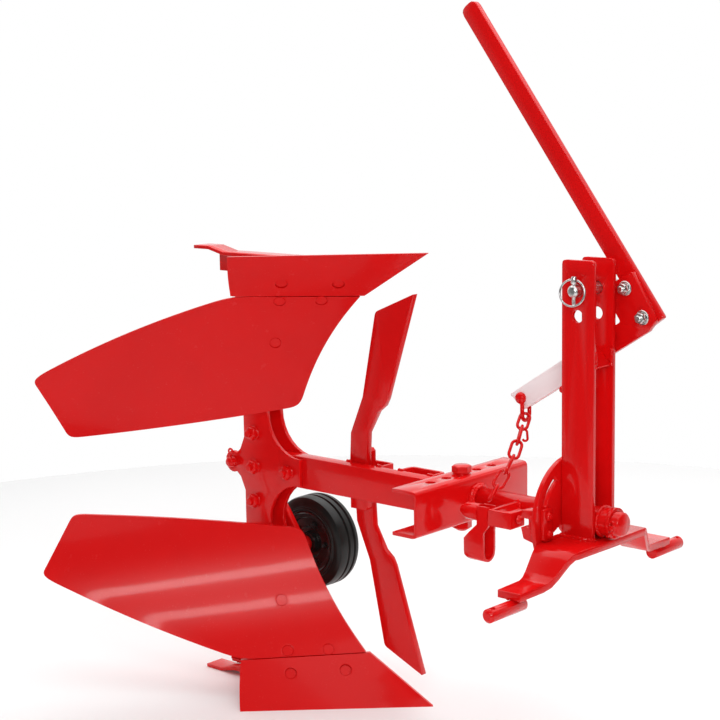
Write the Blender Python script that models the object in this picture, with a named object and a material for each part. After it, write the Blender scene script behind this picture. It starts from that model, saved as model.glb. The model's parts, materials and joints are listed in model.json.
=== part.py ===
"""Roll-over mouldboard plough for a compact tractor's three-point linkage.

+X points forward to the tractor, +Y to the tractor's left and +Z up.  Every shape is laid out in the
hitch frame: X is measured from the lower link pins, Y from the middle of the mast and Z from the
roll-over axis.  The two plough bodies are mirror images above and below that axis.  The last step
moves the whole plough so that it stands on Z = 0 with the origin under the middle of its box.
"""
import math

import bmesh
import bpy
from mathutils import Vector

# ---- driving dimensions, in metres ---------------------------------------------------------------
GAP = 0.0003                 # clearance between pieces that touch
ROLL_HEIGHT = 0.402          # roll-over axis above the floor, and above the lower share edge
FINE, COARSE = 32, 20        # sides of large and of small round pieces

MAST_HEIGHT = 0.413
MAST_X = (-0.034, 0.025)
MAST_INNER, MAST_OUTER = 0.023, 0.031
MAST_FOOT = -0.0267
PLATE_THICK = 0.012
PLATE_CENTRE_TOP, PLATE_END_TOP = -0.027, -0.0715
LINK_PIN_RADIUS, LINK_PIN_Y = 0.011, (0.182, 0.269)
TOP_PIN_RADIUS, TOP_PIN_AT = 0.0095, (-0.005, 0.366)
SHAFT_RADIUS = 0.019
SHAFT_X = (-0.2247, 0.064)
BEARING_X = (-0.0347, 0.042)
SECTOR_RADIUS, SECTOR_X = 0.100, (-0.043, -0.035)
CATCH_Y = 0.075

LEVER_PIVOT = (-0.005, 0.268)
LEVER_LEAN = math.radians(36.3)
LEVER_LENGTH, LEVER_WIDTH = 0.618, 0.032
CRANK_Y = (0.036, 0.046)
LEVER_Y = (0.0463, 0.0583)
SHACKLE_AT = (-0.156, 0.041, 0.171)

CHANNEL_X = (-0.277, -0.225)
CHANNEL_Y = (-0.160, 0.140)
CHANNEL_HALF, CHANNEL_THICK = 0.039, 0.006
BEAM_X, BEAM_Y, BEAM_HALF = (-0.735, -0.2313), (-0.045, -0.018), 0.029
FROG_FACES = ((-0.053, -0.0453), (-0.0177, -0.010))
PIVOT_X = -0.758             # gauge wheel arm's pin, on the level of the roll-over axis
KNIFE_Y = ((-0.0175, -0.0055), (-0.0052, 0.0068))

TIP = Vector((-0.347, 0.025))          # point of the share, in plan
SHARE_ANGLE = math.radians(42.6)       # share edge to the line of travel
ALONG = Vector((-math.cos(SHARE_ANGLE), -math.sin(SHARE_ANGLE)))
SQUARE = Vector((-math.sin(SHARE_ANGLE), math.cos(SHARE_ANGLE)))
SHARE_SLOPE = 0.88                     # set-back of the share for each unit of rise
SEAM = 0.325                           # level of the joint between share and board
BOARD_RADIUS = 0.468
TWIST = (0.015, 0.098)                 # turn of the face at the edge and at the board's inner rim
TWIST_SPAN = 0.330
SHARE_THICK, BOARD_THICK = 0.007, 0.007
SOLE_THICK = 0.006
HEEL_X = (-0.815, -0.500)
HEEL_Y = (-0.083, -0.044)
HEEL_STEP = 0.009              # how far the heel's rear end stands out beyond the rest of it
HEEL_REST = 0.038              # length of that rear end

ARM_LENGTH, ARM_DROP = 0.189, math.radians(55.1)
ARM_Y = (-0.004, 0.008)
WHEEL_Y = (0.026, 0.080)
TYRE_RADIUS, RIM_RADIUS = 0.087, 0.060
AXLE_RADIUS = 0.010

LIFT = {
    "XY": lambda a, b, depth: Vector((a, b, depth)),
    "XZ": lambda a, b, depth: Vector((a, depth, b)),
    "YZ": lambda a, b, depth: Vector((depth, a, b)),
}


# ---- materials -----------------------------------------------------------------------------------
def material(name, colour, roughness, metallic):
    made = bpy.data.materials.new(name)
    made.use_nodes = True
    shader = made.node_tree.nodes["Principled BSDF"]
    shader.inputs["Base Color"].default_value = (*colour, 1.0)
    shader.inputs["Roughness"].default_value = roughness
    shader.inputs["Metallic"].default_value = metallic
    return made


# ---- outlines, as lists of 2-D points ------------------------------------------------------------
def arc(centre, radius, start, end, steps):
    """Points on an arc from start to end, both in degrees and both included."""
    points = []
    for step in range(steps + 1):
        angle = math.radians(start + (end - start) * step / steps)
        points.append((centre[0] + radius * math.cos(angle), centre[1] + radius * math.sin(angle)))
    return points


def circle(centre, radius, sides=COARSE):
    return arc(centre, radius, 0, 360 - 360 / sides, sides - 1)


def rounded(points, radius, steps=3):
    """The closed outline with every corner rounded; radius is one value or one for each corner."""
    radii = radius if isinstance(radius, (list, tuple)) else [radius] * len(points)
    result = []
    for index, corner in enumerate(points):
        here = Vector(corner)
        before = Vector(points[index - 1]) - here
        after = Vector(points[(index + 1) % len(points)]) - here
        if radii[index] == 0:
            result.append(tuple(here))
            continue
        half = before.angle(after) / 2
        reach = min(radii[index] / math.tan(half), 0.49 * before.length, 0.49 * after.length)
        start = here + before.normalized() * reach
        end = here + after.normalized() * reach
        for step in range(steps + 1):
            share = step / steps
            blend = start.lerp(here, share).lerp(here.lerp(end, share), share)
            result.append(tuple(blend))
    return result


def box_outline(low_a, high_a, low_b, high_b, radius=0.0):
    corners = [(low_a, low_b), (high_a, low_b), (high_a, high_b), (low_a, high_b)]
    return rounded(corners, radius) if radius else corners


def mirrored(half):
    """A half outline above the axis, closed by its mirror image below."""
    return half + [(a, -b) for a, b in reversed(half)]


# ---- solids --------------------------------------------------------------------------------------
def plate(outline, plane, low, high, holes=()):
    """A flat plate: an outline with holes, filled and extruded from low to high."""
    mesh = bmesh.new()
    for loop in [outline, *holes]:
        verts = [mesh.verts.new(LIFT[plane](a, b, low)) for a, b in loop]
        for index, vert in enumerate(verts):
            mesh.edges.new((verts[index - 1], vert))
    bmesh.ops.triangle_fill(mesh, use_beauty=True, edges=mesh.edges[:])
    grown = bmesh.ops.extrude_face_region(mesh, geom=mesh.faces[:])
    moved = [item for item in grown["geom"] if isinstance(item, bmesh.types.BMVert)]
    bmesh.ops.translate(mesh, verts=moved, vec=LIFT[plane](0, 0, high - low))
    return mesh


def turned(profile, axis, centre, sides=COARSE, ring=False):
    """A turned solid: profile holds (distance along the axis, radius) pairs.

    A ring's profile is a closed loop clear of the axis; any other profile is capped at both ends.
    """
    lift = LIFT[{"X": "YZ", "Y": "XZ", "Z": "XY"}[axis]]
    mesh = bmesh.new()
    rows = []
    for along, radius in profile:
        rows.append([mesh.verts.new(lift(*spot, along)) for spot in circle(centre, radius, sides)])
    pairs = list(zip(rows, rows[1:]))
    if ring:
        pairs.append((rows[-1], rows[0]))
    for lower, upper in pairs:
        for index in range(sides):
            following = (index + 1) % sides
            mesh.faces.new((lower[index], lower[following], upper[following], upper[index]))
    if not ring:
        mesh.faces.new(rows[0])
        mesh.faces.new(rows[-1])
    return mesh


def shell(front, back):
    """A closed sheet between two grids of points, given as rows of equal length."""
    mesh = bmesh.new()
    sides = []
    for grid in (front, back):
        sides.append([[mesh.verts.new(point) for point in row] for row in grid])
    for verts in sides:
        for upper, lower in zip(verts, verts[1:]):
            for index in range(len(upper) - 1):
                mesh.faces.new((upper[index], upper[index + 1], lower[index + 1], lower[index]))
    rims = []
    for verts in sides:
        rims.append(verts[0] + [row[-1] for row in verts[1:]] + verts[-1][-2::-1]
                    + [row[0] for row in verts[-2:0:-1]])
    for index in range(len(rims[0])):
        mesh.faces.new((rims[0][index - 1], rims[0][index], rims[1][index], rims[1][index - 1]))
    return mesh


def tube(name, points, radius, finish, group):
    """A round wire through the points, as a curve with a bevel and filled ends."""
    curve = bpy.data.curves.new(name, "CURVE")
    curve.dimensions = "3D"
    curve.bevel_depth = radius
    curve.bevel_resolution = 2
    curve.use_fill_caps = True
    spline = curve.splines.new("POLY")
    spline.points.add(len(points) - 1)
    for spot, point in zip(spline.points, points):
        spot.co = (*point, 1.0)
    curve.materials.append(finish)
    return attach(bpy.data.objects.new(name, curve), group)


# ---- objects -------------------------------------------------------------------------------------
def attach(item, group):
    """Parent an object, drawn in the hitch frame, to its group's empty."""
    bpy.context.scene.collection.objects.link(item)
    item.parent = group
    item.location = -Vector(group["hitch_place"])
    return item


def solid(name, mesh, finish, group, smooth=False):
    """Make the named object of a sub-part from its mesh."""
    bmesh.ops.recalc_face_normals(mesh, faces=mesh.faces[:])
    data = bpy.data.meshes.new(name)
    mesh.to_mesh(data)
    mesh.free()
    data.materials.append(finish)
    if smooth:
        data.shade_smooth()
        data.set_sharp_from_angle(angle=math.radians(35))
    return attach(bpy.data.objects.new(name, data), group)


def cut(item, mesh, group, operation="DIFFERENCE"):
    """Cut a solid with a hidden cutter."""
    cutter = solid(item.name + "_cutter", mesh, item.data.materials[0], group)
    cutter.hide_render = True
    cutter.display_type = "WIRE"
    modifier = item.modifiers.new("cut", "BOOLEAN")
    modifier.operation = operation
    modifier.object = cutter


def pivot(name, place, parent=None):
    """An empty on a joint's axis; place is in the hitch frame."""
    empty = bpy.data.objects.new(name, None)
    bpy.context.scene.collection.objects.link(empty)
    empty["hitch_place"] = place
    if parent is not None:
        empty.parent = parent
        empty.location = Vector(place) - Vector(parent["hitch_place"])
    return empty


# ---- headstock -----------------------------------------------------------------------------------
def cross_plate_stations():
    """Half of the bent cross plate, as (Y, top Z, rear X, front X) from the middle outwards."""
    bend = []
    for step in range(7):
        share = step / 6
        ease = share * share * (3 - 2 * share)
        drop = PLATE_CENTRE_TOP + (PLATE_END_TOP - PLATE_CENTRE_TOP) * ease
        bend.append((0.094 + 0.056 * share, drop, -0.0345 + 0.006 * share, 0.044 - 0.027 * share))
    return [(0.0, PLATE_CENTRE_TOP, -0.0347, 0.045), *bend, (0.210, PLATE_END_TOP, -0.025, 0.018)]


def make_cross_plate(group, red):
    half = cross_plate_stations()
    stations = [(-y, z, rear, front) for y, z, rear, front in reversed(half)] + half[1:]
    top, bottom = [], []
    for index, (y, z, rear, front) in enumerate(stations):
        before = stations[max(index - 1, 0)]
        after = stations[min(index + 1, len(stations) - 1)]
        normal = Vector((before[1] - after[1], after[0] - before[0])).normalized()
        under = (y - normal.x * PLATE_THICK, z - normal.y * PLATE_THICK)
        top.append([Vector((rear, y, z)), Vector((front, y, z))])
        bottom.append([Vector((rear, *under)), Vector((front, *under))])
    solid("cross_plate", shell(top, bottom), red, group)


def make_mast(group, red):
    corners = box_outline(*MAST_X, MAST_FOOT, MAST_HEIGHT)
    outline = rounded(corners, [0, 0, 0.007, 0.007])
    holes = [circle((TOP_PIN_AT[0], level), 0.010) for level in (TOP_PIN_AT[1], TOP_PIN_AT[1] - 0.040)]
    for name, low, high in (("mast_plate_right", -MAST_OUTER, -MAST_INNER),
                            ("mast_plate_left", MAST_INNER, MAST_OUTER)):
        solid(name, plate(outline, "XZ", low, high, holes), red, group)
    brace = [(-0.010, 0.270), (0.019, 0.243), (0.023, 0.247), (-0.006, 0.275)]
    reach = MAST_INNER - GAP
    solid("mast_brace", plate(brace, "XZ", -reach, reach), red, group)


def make_link_pins(group, red, zinc):
    low, high = LINK_PIN_Y
    level = PLATE_END_TOP - PLATE_THICK - LINK_PIN_RADIUS - GAP
    for name, side in (("lower_link_pin_right", -1), ("lower_link_pin_left", 1)):
        profile = [(side * low, LINK_PIN_RADIUS), (side * (high - 0.004), LINK_PIN_RADIUS),
                   (side * high, LINK_PIN_RADIUS - 0.004)]
        pin = solid(name, turned(profile, "Y", (0.0, level)), red, group, smooth=True)
        drill = [(level - 0.03, 0.0055), (level + 0.03, 0.0055)]
        hole = turned(drill, "Z", (0.0, side * (high - 0.012)), 12)
        cut(pin, hole, group)
    x, z = TOP_PIN_AT
    profile = [(-0.047, 0.006), (-0.044, TOP_PIN_RADIUS), (0.0313, TOP_PIN_RADIUS), (0.0313, 0.013),
               (0.037, 0.013), (0.037, TOP_PIN_RADIUS), (0.075, TOP_PIN_RADIUS), (0.078, 0.007)]
    pin = solid("top_link_pin", turned(profile, "Y", (x, z)), zinc, group, smooth=True)
    cut(pin, turned([(z - 0.02, 0.0029), (z + 0.02, 0.0029)], "Z", (x, -0.040), 12), group)
    lynch = [(z - 0.024, 0.0015), (z - 0.022, 0.0025), (z + 0.013, 0.0025), (z + 0.014, 0.006),
             (z + 0.020, 0.006), (z + 0.023, 0.003)]
    solid("lynch_pin", turned(lynch, "Z", (x, -0.040), 12), zinc, group, smooth=True)


def make_bearing(group, red):
    inner, outer = SHAFT_RADIUS + GAP, MAST_INNER - 2 * GAP
    rear, front = BEARING_X
    profile = [(rear, inner), (front, inner), (front, outer), (rear, outer)]
    solid("roll_bearing_tube", turned(profile, "X", (0, 0), FINE, ring=True), red, group, smooth=True)


def make_sector(group, red):
    outer = arc((0, 0), SECTOR_RADIUS, 202, -22, 36)
    hub = arc((0, 0), 0.031, -15, -165, 12)
    corners = [(0.080, -0.033), *hub, (-0.080, -0.033)]
    holes = [circle((0, 0), SHAFT_RADIUS + GAP, FINE)]
    for start, end in ((122, 159), (58, 21)):
        far = arc((0, 0), 0.085, start, end, 8)
        near = arc((0, 0), 0.075, end, start, 8)
        holes.append(far + near)
    solid("sector_plate", plate(outer + corners, "YZ", *SECTOR_X, holes), red, group)
    block = [(-0.073, -0.008), (-0.068, -0.026), (-0.0433, -0.032), (-0.0433, 0.022),
             (-0.070, 0.020), (-0.073, 0.008), (-0.058, 0.007), (-0.058, -0.007)]
    strip = rounded(box_outline(0.061, 0.086, -0.0262, 0.026), [0.004, 0.008, 0.003, 0.003])
    for name, side in (("right", -1), ("left", 1)):
        middle = side * CATCH_Y
        solid("catch_block_" + name, plate(block, "XZ", middle - 0.011, middle + 0.011), red, group)
        outline = [(side * a, b) for a, b in strip]
        solid("catch_strip_" + name, plate(outline, "YZ", -0.0347, -0.0287), red, group)


def make_lever_fittings(group, red):
    profile = [(-0.070, 0.002), (-0.068, 0.0055), (-0.065, 0.0065), (-0.005, 0.0065)]
    centre = (MAST_INNER - 0.0065 - GAP, 0.199)
    solid("lever_rest_peg", turned(profile, "X", centre, 16), red, group, smooth=True)
    profile = [(MAST_OUTER + GAP, 0.013), (CRANK_Y[0] - GAP, 0.013), (CRANK_Y[0] - GAP, 0.008),
               (CRANK_Y[1] + GAP, 0.008), (CRANK_Y[1] + GAP, 0.012), (0.056, 0.012)]
    solid("lever_pivot_stud", turned(profile, "Y", LEVER_PIVOT, 16), red, group, smooth=True)


# ---- roll-over lever -----------------------------------------------------------------------------
def make_lever(group, red):
    crank = [(-0.185, 0.175), (-0.155, 0.153), (0.080, 0.301), (0.094, 0.319), (0.049, 0.393),
             (0.013, 0.372), (0.016, 0.333), (0.030, 0.313)]
    radii = [0.003, 0.003, 0.008, 0.008, 0.003, 0.003, 0.008, 0.004]
    holes = [circle(LEVER_PIVOT, 0.008 + GAP, 16)]
    solid("lever_crank", plate(rounded(crank, radii), "XZ", *CRANK_Y, holes), red, group)

    up = Vector((-math.sin(LEVER_LEAN), math.cos(LEVER_LEAN)))
    across = Vector((up.y, -up.x)) * (LEVER_WIDTH / 2)
    foot = Vector((0.093, 0.318)) - across * 0.45
    head = foot + up * LEVER_LENGTH
    corners = [foot - across, foot + across, head + across, head - across]
    outline = rounded([tuple(corner) for corner in corners], [0.004, 0.004, 0.012, 0.012])
    solid("lever_bar", plate(outline, "XZ", *LEVER_Y), red, group)

    x, y, z = SHACKLE_AT
    loop = [(y + a, z - 0.027 + b) for a, b in arc((0, 0), 0.010, 180, 360, 8)]
    points = [(x, y - 0.010, z), *[(x, a, b) for a, b in loop], (x, y + 0.010, z)]
    tube("chain_shackle", points, 0.0035, red, group)


# ---- turnover frame ------------------------------------------------------------------------------
def make_shaft(group, red):
    rear, front = SHAFT_X
    profile = [(rear, SHAFT_RADIUS), (front - 0.003, SHAFT_RADIUS), (front, SHAFT_RADIUS - 0.003)]
    solid("roll_shaft", turned(profile, "X", (0, 0), FINE), red, group, smooth=True)
    inner = SHAFT_RADIUS + GAP
    profile = [(0.0423, inner), (0.0495, inner), (0.0495, 0.025), (0.0423, 0.025)]
    solid("thrust_washer", turned(profile, "X", (0, 0), FINE, ring=True), red, group, smooth=True)


def make_channel(group, red):
    rear, front = CHANNEL_X
    half, thick = CHANNEL_HALF, CHANNEL_THICK
    web = rounded([(rear, half), (front, half), (front, -half), (rear, -half)], [0, 0.010, 0.010, 0])
    inner = rounded([(rear, thick - half), (front - thick, thick - half), (front - thick, half - thick),
                     (rear, half - thick)], [0, 0.005, 0.005, 0])
    item = solid("cross_channel", plate(web + inner, "XZ", *CHANNEL_Y), red, group)
    holes = bmesh.new()
    for step in range(-2, 3):
        spot = (-0.253, -0.008 + 0.041 * step)
        drilled = plate(circle(spot, 0.0085, 12), "XY", -0.05, 0.05)
        data = bpy.data.meshes.new("drilled")
        drilled.to_mesh(data)
        drilled.free()
        holes.from_mesh(data)
        bpy.data.meshes.remove(data)
    cut(item, holes, group)


def make_beam(group, red):
    outline = box_outline(*BEAM_Y, -BEAM_HALF, BEAM_HALF, 0.002)
    solid("main_beam", plate(outline, "YZ", *BEAM_X), red, group)


def make_knife_straps(group, red):
    for name, rear, front in (("knife_strap_rear", -0.505, -0.423), ("knife_strap_front", -0.385, -0.308)):
        near, far, thick = BEAM_Y[1] + GAP, 0.020, 0.006
        outer = rounded([(rear, near), (rear, far), (front, far), (front, near)], [0, 0.010, 0.010, 0])
        inner = rounded([(front - thick, near), (front - thick, far - thick), (rear + thick, far - thick),
                         (rear + thick, near)], [0, 0.005, 0.005, 0])
        solid(name, plate(outer + inner, "XY", -BEAM_HALF, BEAM_HALF), red, group)


def make_knives(group, red):
    rear = [(-0.497, -0.055), (-0.497, 0.028), (-0.494, 0.081), (-0.465, 0.148)]
    blade = rounded([(-0.465, 0.148), (-0.433, 0.300), (-0.347, 0.336)], [0, 0.012, 0])
    front = [(-0.409, 0.150), (-0.416, 0.137), (-0.431, 0.125), (-0.454, 0.085), (-0.457, 0.037),
             (-0.457, -0.050), (-0.462, -0.055)]
    outline = rear + blade[1:] + front
    for name, side, faces in (("knife_upper", 1, KNIFE_Y[0]), ("knife_lower", -1, KNIFE_Y[1])):
        mesh = plate([(a, side * b) for a, b in outline], "XZ", *faces)
        solid(name, mesh, red, group)


# ---- plough bodies -------------------------------------------------------------------------------
def lean(level):
    """Sine of the working face's lean at a level, measured from the roll-over axis."""
    start = SHARE_SLOPE / math.hypot(1, SHARE_SLOPE)
    return start - (SEAM - min(level, SEAM)) / BOARD_RADIUS


def set_back(level):
    """Distance of the working face behind the share edge, square to it: a straight share, then an arc."""
    flat = SHARE_SLOPE * (ROLL_HEIGHT - max(level, SEAM))
    start = lean(SEAM)
    here = lean(level)
    return flat + BOARD_RADIUS * (math.sqrt(1 - here * here) - math.sqrt(1 - start * start))


def twist(level):
    return TWIST[0] + (TWIST[1] - TWIST[0]) * (ROLL_HEIGHT - level) / TWIST_SPAN


def face_point(along, level, side, thick=0.0):
    """A point on the working face, or on the back of a thick sheet; side is +1 above, -1 below."""
    depth = set_back(level) - twist(level) * along + thick / math.sqrt(1 - lean(level) ** 2)
    plan = TIP + ALONG * along + SQUARE * depth
    return Vector((plan.x, plan.y, side * level))


def back_of_body(y, level, thick):
    """X of the back of the share or board at a given Y and level."""
    reach = set_back(level) + thick / math.sqrt(1 - lean(level) ** 2)
    along = (y - TIP.y - reach * SQUARE.y) / (ALONG.y - twist(level) * SQUARE.y)
    return (TIP + ALONG * along + SQUARE * (reach - twist(level) * along)).x


def run(start, end, steps, bulge=0.0):
    """Points of a shallow curve in (along, level), bowed sideways by bulge at its middle."""
    first, last = Vector(start), Vector(end)
    aside = Vector((first.y - last.y, last.x - first.x)).normalized()
    points = []
    for step in range(steps + 1):
        share = step / steps
        points.append(first.lerp(last, share) + aside * (bulge * 4 * share * (1 - share)))
    return points


def patch(bottom, top, left, right):
    """Fill the space between four edges, each a list of points, with a grid."""
    rows = []
    for j, (near, far) in enumerate(zip(left, right)):
        v = j / (len(left) - 1)
        row = []
        for i, (low, high) in enumerate(zip(bottom, top)):
            u = i / (len(bottom) - 1)
            corners = bottom[0].lerp(bottom[-1], u).lerp(top[0].lerp(top[-1], u), v)
            row.append(low * (1 - v) + high * v + near * (1 - u) + far * u - corners)
        rows.append(row)
    return rows


def board_grid():
    seam_front, seam_wing = (0.1165, 0.3220), (0.3410, 0.3268)
    wing_rear, inner_rear = (0.7000, 0.1800), (0.6400, 0.0700)
    inner_front = (0.2270, 0.1140)
    bottom = run(seam_front, seam_wing, 6) + run(seam_wing, wing_rear, 9, 0.010)[1:]
    top = run(inner_front, inner_rear, 15, -0.004)
    return patch(bottom, top, run(seam_front, inner_front, 8, 0.013), run(wing_rear, inner_rear, 8))


def share_grid():
    seam_front, seam_wing = (0.1090, 0.3232), (0.3410, 0.3282)
    edge = run((0.0, ROLL_HEIGHT), (0.3410, ROLL_HEIGHT), 8)
    seam = run(seam_front, seam_wing, 8)
    return patch(edge, seam, run((0.0, ROLL_HEIGHT), seam_front, 3),
                 run((0.3410, ROLL_HEIGHT), seam_wing, 3, 0.002))


def make_bodies(group, red):
    pieces = (("moldboard", board_grid(), BOARD_THICK), ("share", share_grid(), SHARE_THICK))
    for place, side in (("upper", 1), ("lower", -1)):
        for name, grid, thick in pieces:
            front = [[face_point(s, level, side) for s, level in row] for row in grid]
            back = [[face_point(s, level, side, thick) for s, level in row] for row in grid]
            solid(f"{name}_{place}", shell(front, back), red, group, smooth=True)


def frog_outline():
    """Side view of a frog plate: rounded lug at the pin, waist round the beam, horns behind the boards."""
    foot = ROLL_HEIGHT - HEEL_STEP - SOLE_THICK - GAP
    lug = arc((PIVOT_X, 0), 0.020, 180, 62, 6)[1:]
    back = [(-0.739, 0.026), (-0.728, 0.050), (-0.728, 0.110), (-0.745, 0.355), (-0.779, 0.355),
            (-0.779, foot)]
    waist = arc((-0.590, 0.102), 0.077, 180, 272, 8)
    near, clearance = FROG_FACES[0][0], 0.0020
    horn = []
    for step in range(9):
        level = foot + (0.104 - foot) * step / 8
        thick = max(SHARE_THICK, BOARD_THICK)
        horn.append((back_of_body(near, level, thick) - clearance, level))
    return mirrored([(PIVOT_X - 0.020, 0.0), *lug, *back, *horn, *waist, (-0.587, 0.0)][1:-1])


def make_frogs(group, red):
    holes = [circle((PIVOT_X, 0), 0.0095 + GAP)]
    for name, faces in zip(("frog_plate_right", "frog_plate_left"), FROG_FACES):
        solid(name, plate(frog_outline(), "XZ", *faces, holes), red, group)


def make_heels(group, red):
    """Strips under the frog plates; the rear end steps down to the level of the share edge."""
    rear, front = HEEL_X
    base = ROLL_HEIGHT - HEEL_STEP
    sole = [(rear, ROLL_HEIGHT), (rear + HEEL_REST, ROLL_HEIGHT), (rear + 2 * HEEL_REST, base),
            (front, base)]
    top = [(x, level - SOLE_THICK) for x, level in reversed(sole)]
    for name, side in (("heel_upper", 1), ("heel_lower", -1)):
        outline = [(x, side * level) for x, level in sole + top]
        solid(name, plate(outline, "XZ", *HEEL_Y), red, group)


# ---- latch ---------------------------------------------------------------------------------------
def make_latch(group, red, zinc):
    y = -CATCH_Y
    frame = [(-0.131, -0.095), (-0.086, -0.095), (-0.086, -0.058), (-0.098, -0.058), (-0.098, -0.089),
             (-0.125, -0.089), (-0.125, -0.0197), (-0.131, -0.0197)]
    item = solid("latch_frame", plate(frame, "XY", -0.013, 0.013), red, group)
    hole = [(-0.14, 0.0063), (-0.07, 0.0063)]
    cut(item, turned(hole, "X", (y, 0), 16), group)

    pin = [(-0.201, 0.002), (-0.198, 0.007), (-0.192, 0.009), (-0.187, 0.009), (-0.187, 0.014),
           (-0.1613, 0.014), (-0.1613, 0.006), (-0.083, 0.006), (-0.079, 0.003)]
    solid("latch_pin", turned(pin, "X", (y, 0), 16), red, group, smooth=True)
    spring = [(-0.1247, 0.0063), (-0.0983, 0.0063), (-0.0983, 0.0105), (-0.1247, 0.0105)]
    solid("latch_spring", turned(spring, "X", (y, 0), 16, ring=True), zinc, group, smooth=True)

    waist, reach, thick = 0.011, 0.017, 0.0047
    foot = reach - 0.080
    leg = [(waist, 0.013), (waist, -0.018), (reach, -0.031)]
    outer = [(y - a, b) for a, b in leg] + arc((y, foot), reach, 180, 360, 8)
    outer += [(y + a, b) for a, b in reversed(leg)]
    inner = [(y + a - thick, b) for a, b in leg] + arc((y, foot), reach - thick, 360, 180, 8)
    inner += [(y - a + thick, b) for a, b in reversed(leg)]
    item = solid("latch_handle", plate(outer + inner, "YZ", -0.192, -0.136), red, group)
    side = [(-0.161, 0.020), (-0.138, 0.020), (-0.138, -0.018), (-0.144, -0.030), (-0.1445, -0.085),
            (-0.176, -0.085), (-0.183, -0.070), (-0.183, -0.042), (-0.170, -0.028), (-0.161, -0.018)]
    cut(item, plate(side, "XZ", y - 0.02, y + 0.02), group, "INTERSECT")

    points = [(-0.153, 0.0, 0.109), (-0.153, -0.014, 0.090), (-0.152, -0.033, 0.066), (-0.151, -0.048, 0.046),
              (-0.150, -0.062, 0.030), (-0.150, -0.072, 0.018)]
    tube("chain_links", points, 0.0035, red, group)


# ---- gauge wheel ---------------------------------------------------------------------------------
def make_wheel_arm(frame, arm, red, wheel_at):
    profile = [(-0.066, 0.007), (-0.063, 0.0095), (ARM_Y[1] + GAP, 0.0095), (ARM_Y[1] + GAP, 0.015),
               (0.012, 0.015)]
    solid("wheel_pivot_pin", turned(profile, "Y", (PIVOT_X, 0)), red, frame, smooth=True)
    direction = -math.degrees(ARM_DROP)
    rear = arc((PIVOT_X, 0), 0.020, direction + 90, direction + 270, 8)
    front = arc(wheel_at, 0.020, direction - 90, direction + 90, 8)
    holes = [circle((PIVOT_X, 0), 0.0095 + GAP), circle(wheel_at, AXLE_RADIUS + GAP)]
    solid("wheel_arm", plate(rear + front, "XZ", *ARM_Y, holes), red, arm)
    profile = [(ARM_Y[0] - 0.004, 0.008), (ARM_Y[0] - 0.0003, 0.008), (ARM_Y[0] - 0.0003, AXLE_RADIUS),
               (ARM_Y[1] + GAP, AXLE_RADIUS), (ARM_Y[1] + GAP, 0.015), (WHEEL_Y[0] - 0.001, 0.015),
               (WHEEL_Y[0] - 0.001, AXLE_RADIUS), (WHEEL_Y[1] + 0.001, AXLE_RADIUS),
               (WHEEL_Y[1] + 0.001, 0.014), (WHEEL_Y[1] + 0.008, 0.014)]
    solid("wheel_axle", turned(profile, "Y", wheel_at), red, arm, smooth=True)


def make_wheel(group, black, rubber, wheel_at):
    low, high = WHEEL_Y
    middle = (low + high) / 2
    rim, bore = RIM_RADIUS, AXLE_RADIUS + GAP
    dish, hub = middle - low - 0.003, 0.021
    profile = [(low, bore), (low, hub - 0.002), (low + dish, hub), (low + dish, 0.044),
               (low + 0.006, rim - 0.006), (low, rim - 0.004), (low, rim), (high, rim),
               (high, rim - 0.004), (high - 0.006, rim - 0.006), (high - dish, 0.044), (high - dish, hub),
               (high, hub - 0.002), (high, bore)]
    solid("wheel_rim", turned(profile, "Y", wheel_at, FINE, ring=True), black, group, smooth=True)
    tread, wall = TYRE_RADIUS, 0.006
    half = [(low + 0.002, rim + GAP), (low, tread - 0.018), (low + 0.004, tread - wall),
            (low + 0.012, tread - 0.001)]
    profile = half + [(middle, tread)] + [(low + high - along, radius) for along, radius in reversed(half)]
    solid("wheel_tyre", turned(profile, "Y", wheel_at, FINE, ring=True), rubber, group, smooth=True)


# ---- whole plough --------------------------------------------------------------------------------
def stand_on_floor(root):
    """Put the plough's box on Z = 0 with the origin under its middle."""
    bpy.context.view_layer.update()
    graph = bpy.context.evaluated_depsgraph_get()
    lows, highs = [math.inf] * 3, [-math.inf] * 3
    for item in bpy.data.objects:
        if item.type == "EMPTY" or item.hide_render:
            continue
        ready = item.evaluated_get(graph)
        mesh = ready.to_mesh()
        for vert in mesh.vertices:
            spot = item.matrix_world @ vert.co
            lows = [min(low, value) for low, value in zip(lows, spot)]
            highs = [max(high, value) for high, value in zip(highs, spot)]
        ready.to_mesh_clear()
    root.location = (-(lows[0] + highs[0]) / 2, -(lows[1] + highs[1]) / 2, -lows[2])
    bpy.context.view_layer.update()


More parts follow.
